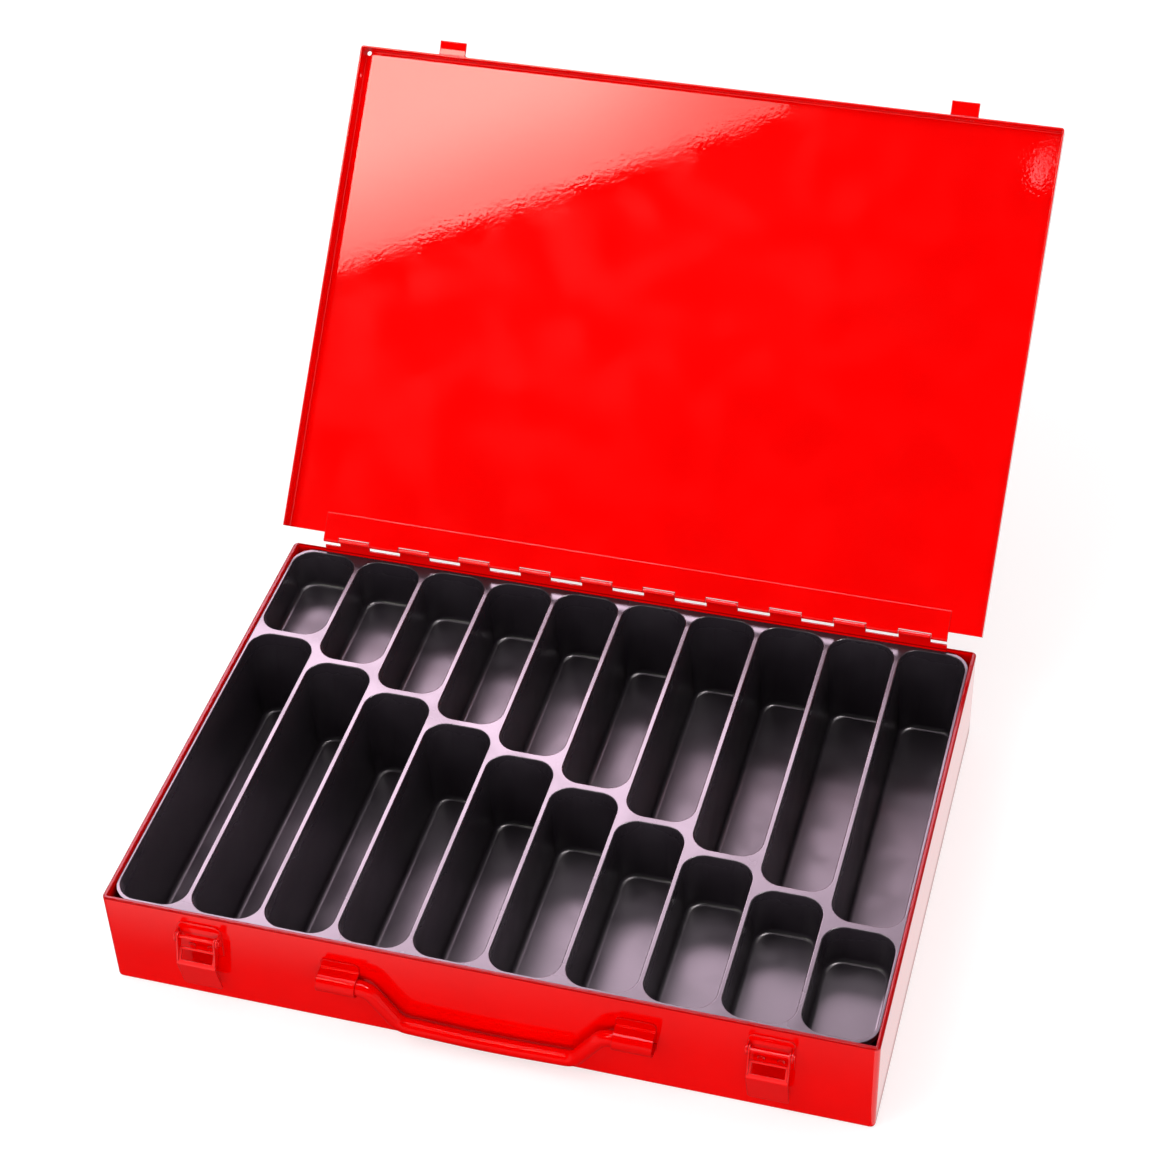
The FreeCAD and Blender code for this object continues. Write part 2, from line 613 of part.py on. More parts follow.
def latch_lever(side, sign):
    """Slotted lever with two cheeks and a finger tab, drawn closed."""
    body = new_body("latch_lever_" + side)
    inner = "-Sizes.latch_web"
    outer = "-Sizes.latch_web - Sizes.latch_sheet"
    top, low = "Sizes.latch_length", "Sizes.latch_web_start"
    turn = "(Sizes.latch_tab_angle * 1 deg)"
    reach, rise = "Sizes.latch_tab * sin%s" % turn, "Sizes.latch_tab * cos%s" % turn
    tip = ("%s - %s" % (inner, reach), "%s + %s" % (top, rise))
    under = (
        "%s - Sizes.latch_sheet * cos%s" % (tip[0], turn),
        "%s - Sizes.latch_sheet * sin%s" % (tip[1], turn),
    )
    crook = "%s - Sizes.latch_sheet * tan(%s / 2)" % (top, turn)
    corners = [(inner, low), (inner, top), tip, under, (outer, crook), (outer, low)]
    pad(body, polygon(body, "YZ_Plane", corners), "Sizes.latch_width", midplane=True)
    web, height = -size("latch_web"), size("latch_length")
    bend = lambda edge: along(edge, X) and abs(middle(edge).z - height) < NEAR
    fillet(body, bend, "Sizes.latch_bend")
    hollow_bend = lambda edge: (
        along(edge, X)
        and abs(middle(edge).y - web + size("latch_sheet")) < NEAR
        and middle(edge).z > height - size("latch_sheet")
    )
    fillet(body, hollow_bend, "Sizes.latch_bend - Sizes.latch_sheet")
    end = web - size("latch_tab") * math.sin(math.radians(size("latch_tab_angle")))
    tab_corners = lambda edge: not along(edge, X) and middle(edge).y < end - NEAR
    fillet(body, tab_corners, "Sizes.latch_tab_corner")
    at = (None, None, "Sizes.latch_width / 2 - Sizes.latch_sheet")
    crest = top + " - Sizes.cheek_top"
    cheek = polygon(
        body,
        "YZ_Plane",
        [
            (outer, low),
            (outer, crest),
            (inner + " + Sizes.cheek_step", crest),
            (inner + " + 2 * Sizes.cheek_step", top + " - Sizes.cheek_shoulder"),
            ("Sizes.latch_ear", "0"),
            ("0", "0"),
            ("-Sizes.latch_ear", "0"),
        ],
        at,
    )
    ear = circles(body, "YZ_Plane", [("0", "0")], "2 * Sizes.latch_ear", at)
    mirror(body, [pad(body, cheek, "Sizes.latch_sheet"), pad(body, ear, "Sizes.latch_sheet")])
    bore = circles(body, "YZ_Plane", [("0", "0")], LATCH_BORE)
    pocket(body, bore, THROUGH, midplane=True)
    half = "Sizes.catch_width / 2 + Sizes.catch_side_gap"
    slot_end = "%s - %s + Sizes.slot_above" % (CATCH_TOP, LATCH_Z)
    slot = block_outline(body, "XZ_Plane", ("-(%s)" % half, "Sizes.slot_start"), (half, slot_end))
    pocket(body, slot, THROUGH, midplane=True)
    x = "%d * Sizes.latch_offset" % sign
    return place(body, x, LATCH_Y, LATCH_Z, "Sizes.latch_open_angle")


def latch_pin(side, sign):
    """Pin through the plate's ears and the lever's cheeks, peened at both ends."""
    body = new_body("latch_pin_" + side)
    grip = "(Sizes.latch_width + 2 * Sizes.latch_side_gap + 2 * Sizes.latch_sheet)"
    shank = circles(body, "YZ_Plane", [("0", "0")], "Sizes.latch_wire")
    pad(body, shank, grip, midplane=True)
    head = circles(body, "YZ_Plane", [("0", "0")], "Sizes.pin_head_width", (None, None, grip + " / 2"))
    mirror(body, [pad(body, head, "Sizes.pin_head")])
    doc.recompute()
    end = body.Shape.BoundBox.XMax
    fillet(body, lambda edge: abs(abs(middle(edge).x) - end) < NEAR, "Sizes.pin_head / 2")
    return place(body, "%d * Sizes.latch_offset" % sign, LATCH_Y, LATCH_Z)


def lid_catch(side, sign):
    """Angle riveted to the lid's front flange; its bent tongue enters the
    latch's slot. Drawn closed, about the hinge axis."""
    body = new_body("lid_catch_" + side)
    face = "%s - Sizes.lid_sheet" % LID_FRONT
    tip = "%s - Sizes.catch_reach" % LID_FRONT
    knee = "%s - Sizes.catch_flat" % LID_FRONT
    drop = "(Sizes.catch_reach - Sizes.catch_flat) * tan(Sizes.catch_bend * 1 deg)"
    over = "%s + Sizes.lid_sheet" % LID_BOTTOM
    corners = [
        (LID_FRONT, LID_BOTTOM),
        (LID_FRONT, LID_BOTTOM + " + Sizes.catch_leg"),
        (face, LID_BOTTOM + " + Sizes.catch_leg"),
        (face, over),
        (knee, over),
        (tip, "%s - %s" % (over, drop)),
        (tip, "%s - %s" % (LID_BOTTOM, drop)),
        (knee, LID_BOTTOM),
    ]
    pad(body, polygon(body, "YZ_Plane", corners), "Sizes.catch_width", midplane=True)
    rivet_holes(body, catch_rivet_places(), LID_FRONT)
    x = "%d * Sizes.latch_offset" % sign
    return place(body, x, HINGE_Y, HINGE_Z, "-Sizes.lid_open_angle")


def rivet(label, x, y, z, grip, heads):
    """Rivet along Y from y; heads lists the ends, -1 and 1, that have a head."""
    shank = doc.addObject("Part::Cylinder", label + "_shank")
    shank.setExpression("Radius", "Sizes.rivet_shank / 2")
    shank.setExpression("Height", grip)
    pieces = [place(shank, x, y, z, "-90")]
    for end in heads:
        head = doc.addObject("Part::Cone", label + "_head")
        head.setExpression("Radius1", "Sizes.rivet_head / 2")
        head.setExpression("Radius2", "Sizes.rivet_head / 2 - Sizes.rivet_rise")
        head.setExpression("Height", "Sizes.rivet_rise")
        start = "%s + %s" % (y, grip) if end > 0 else y
        pieces.append(place(head, x, start, z, "-90" if end > 0 else "90"))
    whole = doc.addObject("Part::MultiFuse", label + "_rivet")
    whole.Shapes = pieces
    return whole


def rivet_group(label, places, y, grip, heads):
    """All rivets of one kind as separate solids of one node."""
    group = doc.addObject("Part::Compound", label)
    group.Label = label
    group.Links = [rivet(label, x, y, z, grip, heads) for x, z in places]
    return group


def latch_rivets():
    """Rivets through the latch plates and the front wall."""
    y = "%s + Sizes.latch_reach - Sizes.latch_sheet" % LATCH_Y
    grip = "(Sizes.latch_sheet + Sizes.base_sheet)"
    places = both_sides(latch_rivet_places(), "Sizes.latch_offset", LATCH_Z)
    group = rivet_group("latch_rivets", places, y, grip, (-1, 1))
    return place(group, "0", "0", "0")


def catch_rivets():
    """Rivets through the catches and the lid's flange, flush inside."""
    y = "%s - Sizes.lid_sheet" % LID_FRONT
    places = both_sides(catch_rivet_places(), "Sizes.latch_offset", "0")
    group = rivet_group("catch_rivets", places, y, "(2 * Sizes.lid_sheet)", (-1,))
    return place(group, "0", HINGE_Y, HINGE_Z, "-Sizes.lid_open_angle")


def bracket(side, sign):
    """Strap with an arch over the handle's rod, spot welded to the front wall."""
    body = new_body("handle_bracket_" + side)
    wall, inner, outer = HANDLE_REACH, BRACKET_INNER, BRACKET_OUTER
    face = "(%s - Sizes.bracket_sheet)" % wall
    reach = "(%s + Sizes.bracket_flange)" % outer
    length = "Sizes.bracket_width"
    flat = block_outline(body, "YZ_Plane", (face, "-" + reach), (wall, reach))
    pad(body, flat, length, midplane=True)
    legs = block_outline(body, "YZ_Plane", ("0", "-" + outer), (wall, outer))
    pad(body, legs, length, midplane=True)
    pad(body, circles(body, "YZ_Plane", [("0", "0")], "2 * " + outer), length, midplane=True)
    pocket(body, circles(body, "YZ_Plane", [("0", "0")], "2 * " + inner), length, midplane=True)
    gap = block_outline(body, "YZ_Plane", ("0", "-" + inner), (wall, inner))
    pocket(body, gap, length, midplane=True)
    arch = size("handle_rod") / 2 + size("bracket_running") + size("bracket_sheet")
    plate = arch + size("handle_gap") - size("bracket_sheet")
    fillet(
        body,
        lambda edge: along(edge, X)
        and abs(middle(edge).y - plate) < NEAR
        and abs(abs(middle(edge).z) - arch) < NEAR,
        "Sizes.bracket_sheet",
    )
    flange_corners = lambda edge: along(edge, Y) and abs(middle(edge).z) > arch + NEAR
    fillet(body, flange_corners, "Sizes.bracket_flange / 2")
    x = "Sizes.handle_shift + %d * (Sizes.bracket_inner + Sizes.bracket_width) / 2" % sign
    return place(body, x, HANDLE_Y, HANDLE_Z)


def bent_path(points, radii):
    """Lines through points, joined by tangent arcs of the given radii."""
    pieces = []
    start = points[0]
    for before, corner, after, radius in zip(points, points[1:], points[2:], radii):
        back, ahead = (before - corner).normalize(), (after - corner).normalize()
        half = back.getAngle(ahead) / 2
        reach = radius / math.tan(half)
        centre = corner + (back + ahead).normalize() * (radius / math.sin(half))
        enter, leave = corner + back * reach, corner + ahead * reach
        crown = centre + (corner - centre).normalize() * radius
        pieces.append(Part.LineSegment(start, enter))
        pieces.append(Part.Arc(enter, crown, leave))
        start = leave
    pieces.append(Part.LineSegment(start, points[-1]))
    return pieces


def handle():
    """Rod handle: its ends turn in the brackets and its grip hangs below them."""
    body = new_body("handle")
    end = size("bracket_inner") / 2 + size("bracket_width") - size("handle_end")
    neck, grip = size("handle_neck") / 2, size("handle_grip") / 2
    hang, bow = size("handle_hang"), size("handle_bow")
    points = [
        Vector(-end, 0, 0),
        Vector(-neck, 0, 0),
        Vector(-grip, -hang, 0),
        Vector(0, -hang - bow, 0),
        Vector(grip, -hang, 0),
        Vector(neck, 0, 0),
        Vector(end, 0, 0),
    ]
    bend = size("handle_bend")
    long_bend = 0.45 * grip / math.tan(math.atan2(bow, grip))
    path = new_sketch(body, "XZ_Plane")
    for piece in bent_path(points, [bend, bend, long_bend, bend, bend]):
        path.addGeometry(piece, False)
    rod = circles(body, "YZ_Plane", [("0", "0")], "Sizes.handle_rod", (None, None, "%.9f" % -end))
    pipe = body.newObject("PartDesign::AdditivePipe", "handle_pipe")
    pipe.Profile = rod
    pipe.Spine = (path, [""])
    fillet(body, lambda edge: abs(abs(middle(edge).x) - end) < NEAR, "Sizes.handle_end")
    return place(body, "Sizes.handle_shift", HANDLE_Y, HANDLE_Z)


nodes = [
    base_shell(),
    lid_shell(),
    hinge_leaf_base(),
    hinge_leaf_lid(),
    hinge_pin(),
    insert_tray(),
    latch_rivets(),
    catch_rivets(),
    handle(),
]
for side, sign in SIDES:
    nodes += [latch_plate(side, sign), latch_lever(side, sign), latch_pin(side, sign)]
    nodes += [lid_catch(side, sign), bracket(side, sign)]
doc.recompute()

for item in doc.Objects:
    if "Invalid" in item.State or "Error" in item.State:
        raise ValueError("%s failed: %s" % (item.Label, item.State))
os.makedirs("parts", exist_ok=True)
for node in nodes:
    shape = node.Shape
    if shape.isNull() or not shape.isValid():
        raise ValueError("%s has no valid shape" % node.Label)
    shape.exportStep("parts/%s.step" % node.Label)
    print(node.Label, len(shape.Solids), round(shape.Volume, 1))
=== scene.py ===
"""Looks of the steel compartment box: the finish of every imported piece, the
studio round it and the camera that stands where the photograph was taken.

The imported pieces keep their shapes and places. Lengths are metres, angles are
degrees, +Z is up and the box's front wall faces -Y.
"""

import logging
import math
from dataclasses import dataclass, field, replace
from enum import Enum

import bpy
from mathutils import Matrix, Vector

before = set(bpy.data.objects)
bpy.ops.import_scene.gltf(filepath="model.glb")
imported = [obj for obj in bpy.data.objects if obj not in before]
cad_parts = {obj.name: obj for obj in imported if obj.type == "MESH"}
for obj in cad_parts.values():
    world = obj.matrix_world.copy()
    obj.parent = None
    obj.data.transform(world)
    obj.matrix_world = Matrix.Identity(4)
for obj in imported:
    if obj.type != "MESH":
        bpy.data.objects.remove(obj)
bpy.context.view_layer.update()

MM = 0.001

Colour = tuple[float, float, float]
Point = tuple[float, float, float]
Output = bpy.types.NodeSocket

WHITE: Colour = (1.0, 1.0, 1.0)
PAINT_IOR = 1.5
BEVEL_SAMPLES = 6
# Cosine between a surface's own normal and its rounded one, on flats and on edges.
FLAT_COSINE = 0.99
EDGE_COSINE = 0.82

log = logging.getLogger("compartment_box")


class Slot(Enum):
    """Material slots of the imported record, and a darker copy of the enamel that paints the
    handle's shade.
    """

    ENAMEL = "red_enamel"
    PLASTIC = "black_plastic"
    WIRE = "steel_wire"
    # Darker, duller copy of the red enamel: painted shade on the handle and its brackets.
    SHADED_GRIP = "red_enamel_shaded"


class Lights(Enum):
    """What a lamp's face is there for."""

    MIRRORED = "glossy surfaces only"
    DIFFUSE = "matt surfaces only"


class Nodes:
    """A node tree, with short calls that add and join nodes."""

    def __init__(self, tree: bpy.types.NodeTree) -> None:
        """Start with an empty tree.

        Args:
            tree: Tree of a material or of the world.
        """
        self.tree = tree
        self.tree.nodes.clear()

    def add(self, kind: str, **settings: object) -> bpy.types.Node:
        """Add a node.

        Args:
            kind: Node type without its "ShaderNode" prefix.
            **settings: Properties of the node itself.

        Returns:
            The new node.
        """
        node = self.tree.nodes.new("ShaderNode" + kind)
        for key, value in settings.items():
            setattr(node, key, value)
        return node

    def join(self, source: Output, node: bpy.types.Node, socket: str | int) -> None:
        """Link an output to a named or numbered input of a node."""
        self.tree.links.new(source, node.inputs[socket])

    def calculate(self, operation: str, *terms: float | Output) -> Output:
        """Calculate a value.

        Args:
            operation: Name of the operation.
            *terms: Its numbers, or the outputs that give them.

        Returns:
            The result.
        """
        node = self.add("Math", operation=operation)
        for index, term in enumerate(terms):
            if isinstance(term, float):
                node.inputs[index].default_value = term
            else:
                self.join(term, node, index)
        return node.outputs["Value"]

    def split(self, where: Output) -> dict[str, Output]:
        """Take a point apart.

        Args:
            where: The point.

        Returns:
            Its three coordinates, named X, Y and Z.
        """
        node = self.add("SeparateXYZ")
        self.join(where, node, "Vector")
        return {axis: node.outputs[axis] for axis in "XYZ"}

    def ramp(
        self, value: Output, low: float, high: float, dark: float = 0.0, light: float = 1.0
    ) -> Output:
        """Map a value smoothly from one range to another.

        Args:
            value: Value to map.
            low: Value that becomes dark.
            high: Value that becomes light.
            dark: Result at low.
            light: Result at high.

        Returns:
            The mapped value.
        """
        node = self.add("MapRange", interpolation_type="SMOOTHSTEP")
        node.inputs["From Min"].default_value = low
        node.inputs["From Max"].default_value = high
        node.inputs["To Min"].default_value = dark
        node.inputs["To Max"].default_value = light
        self.join(value, node, "Value")
        return node.outputs["Result"]

    def light(self, kind: str, strength: Output, colour: Colour = WHITE) -> Output:
        """Add a node that sends out light.

        Args:
            kind: "Emission" in a material, "Background" in the world.
            strength: Brightness, where 1 is white.
            colour: Colour of the light.

        Returns:
            The output that carries the light.
        """
        node = self.add(kind)
        node.inputs["Color"].default_value = (*colour, 1.0)
        self.join(strength, node, "Strength")
        return node.outputs[kind]


@dataclass(frozen=True)
class Grain:
    """Soft noise on a surface.

    Args:
        size: Size of its spots.
        detail: Number of its finer octaves.
        low: Noise at which the spots' colour or gloss starts.
        high: Noise at which it is full.
        depth: Height that a noise of 1 stands out.
        stretch: How much finer the spots are along X, Y and Z.
    """

    size: float
    detail: float = 2.0
    low: float = 0.3
    high: float = 0.7
    depth: float = 0.0
    stretch: Point = (1.0, 1.0, 1.0)


class Shader(Nodes):
    """Node tree of one material."""

    def __init__(self, name: str) -> None:
        """Start an empty material.

        Args:
            name: Name of the material.
        """
        self.material = bpy.data.materials.new(name)
        self.material.use_nodes = True
        super().__init__(self.material.node_tree)

    def principled(self, **constants: float) -> bpy.types.Node:
        """Add the surface shader and its output.

        Args:
            **constants: Values set on its sockets, with _ for each space.

        Returns:
            The surface shader.
        """
        surface = self.add("BsdfPrincipled")
        for key, value in constants.items():
            surface.inputs[key.replace("_", " ")].default_value = value
        self.show(surface.outputs["BSDF"])
        return surface

    def show(self, surface: Output) -> None:
        """Join a surface to the material's output."""
        self.join(surface, self.add("OutputMaterial"), "Surface")

    def place(self) -> Output:
        """Return the point on the piece, in metres, in the piece's own frame."""
        return self.add("TexCoord").outputs["Object"]

    def noise(self, where: Output, grain: Grain) -> Output:
        """Add soft noise.

        Args:
            where: Point at which the noise is read.
            grain: Size and detail of the noise.

        Returns:
            Value of the noise, about 0.5 on average.
        """
        mapping = self.add("Mapping")
        mapping.inputs["Scale"].default_value = grain.stretch
        self.join(where, mapping, "Vector")
        noise = self.add("TexNoise")
        noise.inputs["Scale"].default_value = 1.0 / grain.size
        noise.inputs["Detail"].default_value = grain.detail
        self.join(mapping.outputs["Vector"], noise, "Vector")
        return noise.outputs["Fac"]

    def blend(self, factor: Output, first: Colour | Output, second: Colour | Output) -> Output:
        """Mix two colours.

        Args:
            factor: 0 for the first colour, 1 for the second.
            first: Colour, or the output that gives it.
            second: Colour, or the output that gives it.

        Returns:
            The mixed colour.
        """
        mix = self.add("Mix", data_type="RGBA")
        self.join(factor, mix, "Factor")
        colours = [socket for socket in mix.inputs if socket.type == "RGBA"]
        for socket, colour in zip(colours, (first, second)):
            if isinstance(colour, tuple):
                socket.default_value = (*colour, 1.0)
            else:
                self.tree.links.new(colour, socket)
        return [socket for socket in mix.outputs if socket.type == "RGBA"][0]

    def bump(self, height: Output, depth: float, under: Output | None = None) -> Output:
        """Raise the surface's normal by a height.

        Args:
            height: Height, from 0 to 1.
            depth: What a height of 1 measures, in metres.
            under: Normal that the bumps stand on, if not the mesh's own.

        Returns:
            The bumped normal.
        """
        node = self.add("Bump")
        node.inputs["Strength"].default_value = 1.0
        node.inputs["Distance"].default_value = depth
        self.join(height, node, "Height")
        if under is not None:
            self.join(under, node, "Normal")
        return node.outputs["Normal"]

    def edge_wear(self, radius: float) -> tuple[Output, Output]:
        """Round the sharp edges' normals and tell where those edges are.

        Args:
            radius: Radius of the rounding, in metres.

        Returns:
            The rounded normal, and a value that is 0 on flats and grows to 1
            on edges.
        """
        rounded = self.add("Bevel", samples=BEVEL_SAMPLES)
        rounded.inputs["Radius"].default_value = radius
        cosine = self.add("VectorMath", operation="DOT_PRODUCT")
        self.join(rounded.outputs["Normal"], cosine, 0)
        self.join(self.add("NewGeometry").outputs["Normal"], cosine, 1)
        edges = self.ramp(cosine.outputs["Value"], FLAT_COSINE, EDGE_COSINE)
        return rounded.outputs["Normal"], edges


@dataclass(frozen=True)
class ShadedRim:
    """Painted shade on the rim that the lid closes on: a darker, less shiny band in place of
    the shadow in the gap beside the insert.

    Args:
        low: Height at which the band of painted shade starts.
        start: Height from which the painted shade is full.
        end: Height up to which the painted shade is full.
        high: Height at which the band ends.
        colour: Darker colour of the enamel, which paints the shade.
        shine: Strength of its reflections.
    """

    low: float = 65.9 * MM
    start: float = 66.3 * MM
    end: float = 67.1 * MM
    high: float = 67.3 * MM
    colour: Colour = (0.40, 0.0, 0.0)
    shine: float = 0.1

    def painted_shade(self, shader: Shader, where: Output) -> Output:
        """Tell where the painted shade lies on the rim.

        Args:
            shader: Shader that the nodes go into.
            where: Point on the piece.

        Returns:
            A value that is 1 on the band of painted shade and 0 beside it.
        """
        height = shader.split(where)["Z"]
        rising = shader.ramp(height, self.low, self.start)
        falling = shader.ramp(height, self.end, self.high, 1.0, 0.0)
        return shader.calculate("MULTIPLY", rising, falling)


@dataclass(frozen=True)
class Enamel:
    """Glossy stoved enamel on steel, with a slight orange peel.

    Args:
        name: Name of the material.
        colour: Its colour.
        deep: Its deeper colour, in soft clouds.
        thin: Its colour on edges, where it lies thin.
        clouds: Noise of the deeper colour.
        waves: Long waves in its surface, which also vary the gloss.
        peel: Orange peel.
        edge: Radius of the rounding on sharp edges.
        rough_low: Roughness in the waves' low places.
        rough_high: Roughness in the waves' high places.
        edge_rough: Roughness added on edges.
        shine: Strength of its reflections.
        rim: Band of painted shade on the rim, if it has one.
    """

    name: str = "red_enamel_gloss"
    colour: Colour = (0.90, 0.0, 0.0)
    deep: Colour = (0.84, 0.0, 0.0)
    thin: Colour = (0.50, 0.0, 0.0)
    clouds: Grain = Grain(60 * MM, detail=3.0, low=0.35, high=0.65)
    waves: Grain = Grain(30 * MM, depth=0.005 * MM)
    peel: Grain = Grain(2.4 * MM, detail=1.0, depth=0.012 * MM)
    edge: float = 0.8 * MM
    rough_low: float = 0.02
    rough_high: float = 0.06
    edge_rough: float = 0.35
    shine: float = 0.5
    rim: ShadedRim | None = ShadedRim()

    def build(self) -> bpy.types.Material:
        """Mix the finish.

        Returns:
            Its material.
        """
        shader = Shader(self.name)
        surface = shader.principled(IOR=PAINT_IOR, Specular_IOR_Level=self.shine)
        where = shader.place()
        clouds = shader.ramp(
            shader.noise(where, self.clouds), self.clouds.low, self.clouds.high
        )
        body = shader.blend(clouds, self.deep, self.colour)
        if self.rim is not None:
            # Painted shade: the rim's band gets a darker colour and less shine, standing in for
            # the shadow in the gap beside the insert.
            painted_shade = self.rim.painted_shade(shader, where)
            body = shader.blend(painted_shade, body, self.rim.colour)
            shine = shader.ramp(painted_shade, 0.0, 1.0, self.shine, self.rim.shine)
            shader.join(shine, surface, "Specular IOR Level")
        normal, edges = shader.edge_wear(self.edge)
        shader.join(shader.blend(edges, body, self.thin), surface, "Base Color")
        smears = shader.noise(where, self.waves)
        rough = shader.ramp(
            smears, self.waves.low, self.waves.high, self.rough_low, self.rough_high
        )
        rough = shader.calculate("MULTIPLY_ADD", edges, self.edge_rough, rough)
        shader.join(rough, surface, "Roughness")
        waves = shader.bump(smears, self.waves.depth, normal)
        peel = shader.bump(shader.noise(where, self.peel), self.peel.depth, waves)
        shader.join(peel, surface, "Normal")
        return shader.material


@dataclass(frozen=True)
class MouldedPlastic:
    """Black vacuum formed plastic: shinier webs, matt pockets, slight draw marks.

    Args:
        name: Name of the material.
        colour: Its colour.
        worn: Its paler colour, in soft clouds.
        clouds: Noise of the paler colour, which also varies the gloss.
        marks: Draw marks, long up and down.
        fine: Fine grain of the surface.
        rough_low: Roughness where the colour is dark.
        rough_high: Roughness where it is pale.
        pocket_rough: Roughness added deep inside the pockets.
        pocket_top: Height below which all of it is added.
        web_height: Height above which none is added.
    """

    name: str = "black_plastic_satin"
    colour: Colour = (0.021, 0.016, 0.021)
    worn: Colour = (0.029, 0.023, 0.029)
    clouds: Grain = Grain(35 * MM, detail=4.0, low=0.35, high=0.7)
    marks: Grain = Grain(9 * MM, depth=0.02 * MM, stretch=(1.0, 1.0, 0.35))
    fine: Grain = Grain(0.5 * MM, detail=1.0, depth=0.004 * MM)
    rough_low: float = 0.20
    rough_high: float = 0.28
    pocket_rough: float = 0.08
    pocket_top: float = 54 * MM
    web_height: float = 64 * MM

    def build(self) -> bpy.types.Material:
        """Mix the finish.

        Returns:
            Its material.
        """
        shader = Shader(self.name)
        surface = shader.principled(IOR=PAINT_IOR)
        where = shader.place()
        clouds = shader.ramp(
            shader.noise(where, self.clouds), self.clouds.low, self.clouds.high
        )
        shader.join(shader.blend(clouds, self.colour, self.worn), surface, "Base Color")
        rough = shader.ramp(clouds, 0.0, 1.0, self.rough_low, self.rough_high)
        height = shader.split(where)["Z"]
        inside = shader.ramp(height, self.pocket_top, self.web_height, self.pocket_rough, 0.0)
        shader.join(shader.calculate("ADD", rough, inside), surface, "Roughness")
        marks = shader.bump(shader.noise(where, self.marks), self.marks.depth)
        fine = shader.bump(shader.noise(where, self.fine), self.fine.depth, marks)
        shader.join(fine, surface, "Normal")
        return shader.material


@dataclass(frozen=True)
class DrawnWire:
    """Bright steel wire with fine lines along its length.

    Args:
        name: Name of the material.
        colour: Its colour.
        dull: Its darker colour, in the lines.
        lines: Noise of the lines, long along X.
        rough_low: Roughness of the darker lines.
        rough_high: Roughness of the brighter lines.
    """

    name: str = "drawn_wire"
    colour: Colour = (0.62, 0.61, 0.60)
    dull: Colour = (0.40, 0.39, 0.38)
    lines: Grain = Grain(0.3 * MM, depth=0.004 * MM, stretch=(0.04, 1.0, 1.0))
    rough_low: float = 0.25
    rough_high: float = 0.45

    def build(self) -> bpy.types.Material:
        """Mix the finish.

        Returns:
            Its material.
        """
        shader = Shader(self.name)
        surface = shader.principled(Metallic=1.0)
        lines = shader.noise(shader.place(), self.lines)
        shader.join(shader.blend(lines, self.dull, self.colour), surface, "Base Color")
        rough = shader.ramp(
            lines, self.lines.low, self.lines.high, self.rough_low, self.rough_high
        )
        shader.join(rough, surface, "Roughness")
        shader.join(shader.bump(lines, self.lines.depth), surface, "Normal")
        return shader.material


@dataclass
class Finishes:
    """The materials of all slots, each built once.

    Args:
        enamel: Finish of the painted sheets, pins and rivets.
        plastic: Finish of the insert.
        wire: Finish of the hinge's pin.
        shaded_grip: Finish of the handle and its brackets: the red enamel made duller, and
            darker as painted shade.
        built: Material of each slot.
    """

    enamel: Enamel = Enamel()
    plastic: MouldedPlastic = MouldedPlastic()
    wire: DrawnWire = DrawnWire()
    shaded_grip: Enamel = Enamel(
        name="red_enamel_shaded",
        # Painted shade: darker than the red enamel, for the shade on the handle; its shine is
        # lower too.
        colour=(0.76, 0.0, 0.0),
        deep=(0.70, 0.0, 0.0),
        shine=0.13,
        rim=None,
    )
    built: dict[Slot, bpy.types.Material] = field(default_factory=dict)

    def build(self) -> None:
        """Make the material of every slot."""
        self.built[Slot.ENAMEL] = self.enamel.build()
        self.built[Slot.PLASTIC] = self.plastic.build()
        self.built[Slot.WIRE] = self.wire.build()
        self.built[Slot.SHADED_GRIP] = self.shaded_grip.build()

    def dress(self, node: str, slot: Slot) -> None:
        """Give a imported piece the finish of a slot.

        Args:
            node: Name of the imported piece.
            slot: Slot whose finish it gets.
        """
        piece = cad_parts[node]
        for index in range(len(piece.data.materials)):
            piece.data.materials[index] = self.built[slot]
        log.info("%s: %s", node, self.built[slot].name)


@dataclass
class Assembly:
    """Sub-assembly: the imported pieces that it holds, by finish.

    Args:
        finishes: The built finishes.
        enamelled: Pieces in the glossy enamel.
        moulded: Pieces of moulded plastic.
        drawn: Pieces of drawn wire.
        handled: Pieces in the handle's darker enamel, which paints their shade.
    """

    finishes: Finishes
    enamelled: tuple[str, ...] = ()
    moulded: tuple[str, ...] = ()
    drawn: tuple[str, ...] = ()
    handled: tuple[str, ...] = ()

    def dress(self) -> None:
        """Give each piece its finish."""
        for slot, nodes in (
            (Slot.ENAMEL, self.enamelled),
            (Slot.PLASTIC, self.moulded),
            (Slot.WIRE, self.drawn),
            (Slot.SHADED_GRIP, self.handled),
        ):
            for node in nodes:
                self.finishes.dress(node, slot)


@dataclass
class Base(Assembly):
    """Folded base with the hinge's lower leaf and what is fixed to its front."""

    enamelled: tuple[str, ...] = (
        "base_shell",
        "hinge_leaf_base",
        "latch_plate_left",
        "latch_plate_right",
        "latch_pin_left",
        "latch_pin_right",
        "latch_rivets",
    )
    moulded: tuple[str, ...] = ("insert_tray",)
    drawn: tuple[str, ...] = ("hinge_pin",)
    handled: tuple[str, ...] = ("handle_bracket_left", "handle_bracket_right")


@dataclass
class Lid(Assembly):
    """Folded lid with the hinge's upper leaf and its two catches."""

    enamelled: tuple[str, ...] = (
        "lid_shell",
        "hinge_leaf_lid",
        "lid_catch_left",
        "lid_catch_right",
        "catch_rivets",
    )


@dataclass
class FrontFittings(Assembly):
    """What swings on the front wall: two slotted levers and the handle."""

    enamelled: tuple[str, ...] = ("latch_lever_left", "latch_lever_right")
    handled: tuple[str, ...] = ("handle",)


def heading(azimuth: float, elevation: float) -> Vector:
    """Return the direction in which a lamp or the camera stands.

    Args:
        azimuth: 0 is in front of the box, 90 to its right.
        elevation: Angle over the floor.

    Returns:
        The direction, one metre long.
    """
    across = math.radians(azimuth)
    up = math.radians(elevation)
    flat = math.cos(up)
    return Vector((math.sin(across) * flat, -math.cos(across) * flat, math.sin(up)))


